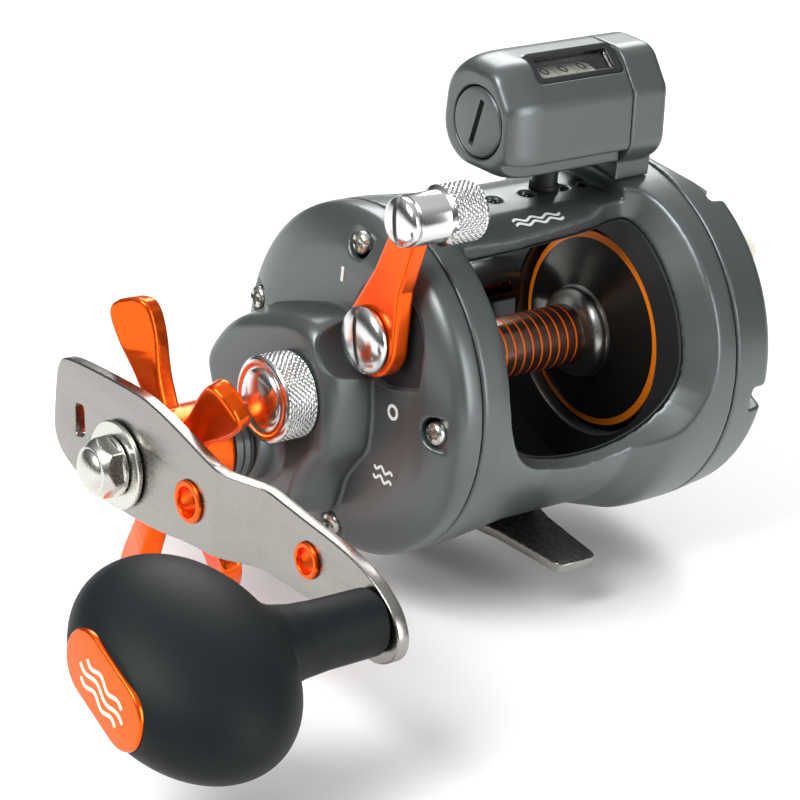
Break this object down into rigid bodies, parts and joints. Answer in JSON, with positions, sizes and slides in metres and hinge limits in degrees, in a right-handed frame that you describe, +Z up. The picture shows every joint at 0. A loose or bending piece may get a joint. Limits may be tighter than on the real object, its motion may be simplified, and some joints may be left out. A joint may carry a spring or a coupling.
{
  "type": "levelwind trolling reel with line counter",
  "caption": "Trolling reel: cranked handle with egg-shaped knob, drag star, clutch lever, levelwind and a line counter over a dished spool, on a stamped rod foot.",
  "frame": {"origin": "centre of the foot's underside, where it rests on the rod", "axes": "+X along the spool axis from the handle side to the palm side, +Y forward to the rod tip, +Z up out of the rod"},
  "size_m": [0.2032, 0.1442, 0.1211],
  "materials": {
    "gunmetal_coat": "satin gun-metal grey paint over cast alloy",
    "orange_anodised": "bright orange anodising",
    "bright_plate": "bright plated and knurled",
    "stainless": "brushed stainless steel",
    "steel_internal": "ground steel",
    "spool_alloy": "polished dark anodising with orange rims",
    "soft_knob": "soft-touch charcoal",
    "seal_rubber": "matt black",
    "gear_brass": "machined",
    "drag_fibre": "woven fibre",
    "clear_window": "clear",
    "ivory_plastic": "moulded",
    "black_frame_plate": "black coat"
  },
  "bodies": {
    "reel_body": {"frame": "gunmetal_coat", "reel_foot": "stainless", "foot_screw_1": "stainless", "foot_screw_2": "stainless", "handle_side_plate": "gunmetal_coat", "plate_screw_1": "stainless", "plate_screw_2": "stainless", "plate_screw_3": "stainless", "plate_screw_4": "stainless", "palm_side_plate": "gunmetal_coat", "palm_screw_1": "stainless", "palm_screw_2": "stainless", "palm_screw_3": "stainless", "bridge_plate": "black_frame_plate", "yoke_spring_1": "steel_internal", "yoke_spring_2": "steel_internal", "spool_bearing_handle": "steel_internal", "spool_bearing_palm": "steel_internal", "seal_ring": "seal_rubber", "levelwind_shield": "spool_alloy", "counter_housing": "gunmetal_coat", "counter_window": "clear_window"},
    "handle": {"main_shaft": "steel_internal", "main_gear": "gear_brass", "drag_fibre_washer_1": "drag_fibre", "drag_metal_washer": "steel_internal", "drag_fibre_washer_2": "drag_fibre", "ratchet_wheel": "steel_internal", "spacer_collar": "gunmetal_coat", "handle_arm": "stainless", "arm_liner_inner": "orange_anodised", "arm_liner_outer": "orange_anodised", "handle_washer": "bright_plate", "handle_nut": "bright_plate", "knob_post": "steel_internal"},
    "knob": {"handle_knob": "soft_knob", "knob_badge": "orange_anodised"},
    "star": {"star_drag": "orange_anodised"},
    "spool_set": {"spool": "spool_alloy", "spool_shaft": "steel_internal", "spool_gear": "gear_brass"},
    "yoke": {"pinion_yoke": "steel_internal"},
    "pinion": {"pinion_gear": "gear_brass"},
    "idler": {"idler_gear": "gear_brass"},
    "worm": {"worm_shaft": "orange_anodised", "worm_gear": "gear_brass"},
    "guide": {"line_guide": "bright_plate", "guide_pawl": "steel_internal"},
    "clutch": {"clutch_lever": "orange_anodised", "lever_pivot_screw": "bright_plate", "thumb_barrel": "bright_plate", "barrel_screw": "bright_plate", "clutch_cam": "steel_internal"},
    "dog": {"anti_reverse_dog": "steel_internal"},
    "tension": {"tension_knob": "bright_plate"},
    "clicker": {"clicker_button": "ivory_plastic"},
    "reset_dial": {"counter_reset_dial": "gunmetal_coat"},
    "hundreds": {"digit_wheel_1": "ivory_plastic"},
    "tens": {"digit_wheel_2": "ivory_plastic"},
    "ones": {"digit_wheel_3": "ivory_plastic"}
  },
  "joints": [
    {"name": "handle_crank", "type": "hinge", "parent": "reel_body", "child": "handle", "pos_m": [-0.07, 0.01221, 0.02359], "axis": [1, 0, 0], "continuous": true},
    {"name": "knob_spin", "type": "hinge", "parent": "handle", "child": "knob", "pos_m": [-0.12, -0.07165, 0.02659], "axis": [1, 0, 0], "continuous": true},
    {"name": "star_drag_turn", "type": "hinge", "parent": "handle", "child": "star", "pos_m": [-0.078, 0.01221, 0.02359], "axis": [1, 0, 0], "range_deg": [-180, 180]},
    {"name": "spool_spin", "type": "hinge", "parent": "reel_body", "child": "spool_set", "pos_m": [0, 0, 0.0388], "axis": [1, 0, 0], "continuous": true},
    {"name": "yoke_slide", "type": "slide", "parent": "reel_body", "child": "yoke", "axis": [1, 0, 0], "range_m": [-0.0018, 0]},
    {"name": "pinion_spin", "type": "hinge", "parent": "yoke", "child": "pinion", "pos_m": [-0.045, 0, 0.0388], "axis": [1, 0, 0], "continuous": true},
    {"name": "idler_spin", "type": "hinge", "parent": "reel_body", "child": "idler", "pos_m": [0.0325, 0.01198, 0.03947], "axis": [1, 0, 0], "continuous": true},
    {"name": "worm_spin", "type": "hinge", "parent": "reel_body", "child": "worm", "pos_m": [0, 0.02846, 0.04039], "axis": [1, 0, 0], "continuous": true},
    {"name": "guide_slide", "type": "slide", "parent": "reel_body", "child": "guide", "axis": [1, 0, 0], "range_m": [-0.018, 0.021]},
    {"name": "clutch_lever_swing", "type": "hinge", "parent": "reel_body", "child": "clutch", "pos_m": [-0.048, -0.0152, 0.0568], "axis": [1, 0, 0], "range_deg": [0, 45]},
    {"name": "anti_reverse_dog_swing", "type": "hinge", "parent": "reel_body", "child": "dog", "pos_m": [-0.0402, 0.0254, 0.0346], "axis": [1, 0, 0], "range_deg": [-18, 0], "stiffness_Nm_per_rad": 0.0002},
    {"name": "cast_tension_turn", "type": "hinge", "parent": "reel_body", "child": "tension", "pos_m": [-0.06, 0, 0.0388], "axis": [1, 0, 0], "range_deg": [-180, 180]},
    {"name": "clicker_slide", "type": "slide", "parent": "reel_body", "child": "clicker", "axis": [0, 0.6691, -0.7431], "range_m": [0, 0.004]},
    {"name": "reset_dial_turn", "type": "hinge", "parent": "reel_body", "child": "reset_dial", "pos_m": [-0.013, -0.0005, 0.0956], "axis": [1, 0, 0], "range_deg": [-180, 180]},
    {"name": "hundreds_spin", "type": "hinge", "parent": "reel_body", "child": "hundreds", "pos_m": [-0.004, -0.0005, 0.0956], "axis": [1, 0, 0], "continuous": true},
    {"name": "tens_spin", "type": "hinge", "parent": "reel_body", "child": "tens", "pos_m": [0.001, -0.0005, 0.0956], "axis": [1, 0, 0], "continuous": true},
    {"name": "ones_spin", "type": "hinge", "parent": "reel_body", "child": "ones", "pos_m": [0.006, -0.0005, 0.0956], "axis": [1, 0, 0], "continuous": true}
  ],
  "couplings": [
    {"joint": "spool_spin", "follows": "handle_crank", "ratio": -4.2},
    {"joint": "pinion_spin", "follows": "handle_crank", "ratio": -4.2},
    {"joint": "idler_spin", "follows": "handle_crank", "ratio": 2.52},
    {"joint": "worm_spin", "follows": "handle_crank", "ratio": -2.1},
    {"joint": "ones_spin", "follows": "handle_crank", "ratio": 0.12},
    {"joint": "tens_spin", "follows": "handle_crank", "ratio": 0.012},
    {"joint": "hundreds_spin", "follows": "handle_crank", "ratio": 0.0012},
    {"joint": "yoke_slide", "follows": "clutch_lever_swing", "m_per_rad": -0.0020372}
  ]
}
